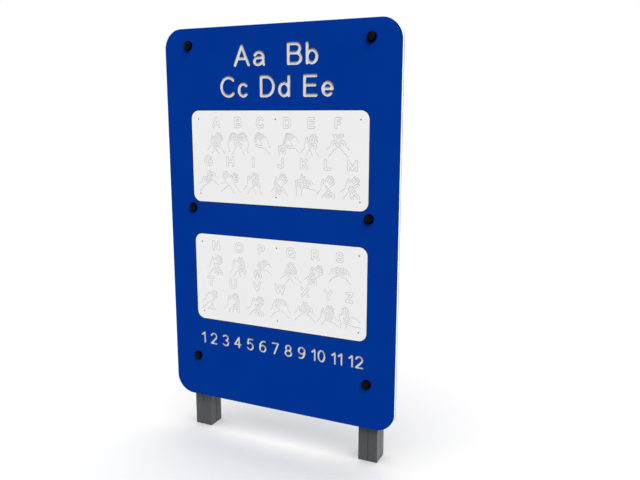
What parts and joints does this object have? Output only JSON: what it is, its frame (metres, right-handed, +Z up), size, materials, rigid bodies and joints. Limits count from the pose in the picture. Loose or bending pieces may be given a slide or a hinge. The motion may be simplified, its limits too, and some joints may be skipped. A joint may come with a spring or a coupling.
{
  "type": "sign language alphabet panel",
  "caption": "Upright sign language alphabet panel: a rounded board with inset engraved plates, held by capped through bolts on grooved square posts that are fixed in the ground.",
  "frame": {"origin": "on the ground, centred under the whole panel in width and depth", "axes": "+Z up, +X to the right seen from the front, and the lettered face looks along -Y"},
  "size_m": [1, 0.127, 1.686],
  "materials": {
    "blue_sheet": "satin blue skin over a white core",
    "white_sheet": "fine matte, with engraved lines",
    "grey_coated_aluminium": "dark grey powder coat",
    "black_plastic": "satin moulded",
    "grey_plastic": "satin moulded",
    "stainless_steel": "plain turned",
    "black_steel": "blackened"
  },
  "bodies": {
    "root": {"board": "blue_sheet", "bolt_left_bottom": "stainless_steel", "bolt_left_middle": "stainless_steel", "bolt_left_top": "stainless_steel", "bolt_right_bottom": "stainless_steel", "bolt_right_middle": "stainless_steel", "bolt_right_top": "stainless_steel", "front_cap_left_bottom": "black_plastic", "front_cap_left_middle": "black_plastic", "front_cap_left_top": "black_plastic", "front_cap_right_bottom": "black_plastic", "front_cap_right_middle": "black_plastic", "front_cap_right_top": "black_plastic", "front_washer_left_bottom": "black_plastic", "front_washer_left_middle": "black_plastic", "front_washer_left_top": "black_plastic", "front_washer_right_bottom": "black_plastic", "front_washer_right_middle": "black_plastic", "front_washer_right_top": "black_plastic", "left_post": "grey_coated_aluminium", "left_post_plug": "grey_plastic", "lower_plate": "white_sheet", "lower_screw_bottom_left": "black_steel", "lower_screw_bottom_middle": "black_steel", "lower_screw_bottom_right": "black_steel", "lower_screw_top_left": "black_steel", "lower_screw_top_middle": "black_steel", "lower_screw_top_right": "black_steel", "rear_cap_left_bottom": "black_plastic", "rear_cap_left_middle": "black_plastic", "rear_cap_left_top": "black_plastic", "rear_cap_right_bottom": "black_plastic", "rear_cap_right_middle": "black_plastic", "rear_cap_right_top": "black_plastic", "rear_washer_left_bottom": "black_plastic", "rear_washer_left_middle": "black_plastic", "rear_washer_left_top": "black_plastic", "rear_washer_right_bottom": "black_plastic", "rear_washer_right_middle": "black_plastic", "rear_washer_right_top": "black_plastic", "right_post": "grey_coated_aluminium", "right_post_plug": "grey_plastic", "sleeve_nut_left_bottom": "stainless_steel", "sleeve_nut_left_middle": "stainless_steel", "sleeve_nut_left_top": "stainless_steel", "sleeve_nut_right_bottom": "stainless_steel", "sleeve_nut_right_middle": "stainless_steel", "sleeve_nut_right_top": "stainless_steel", "upper_plate": "white_sheet", "upper_screw_bottom_left": "black_steel", "upper_screw_bottom_middle": "black_steel", "upper_screw_bottom_right": "black_steel", "upper_screw_top_left": "black_steel", "upper_screw_top_middle": "black_steel", "upper_screw_top_right": "black_steel"}
  },
  "joints": []
}
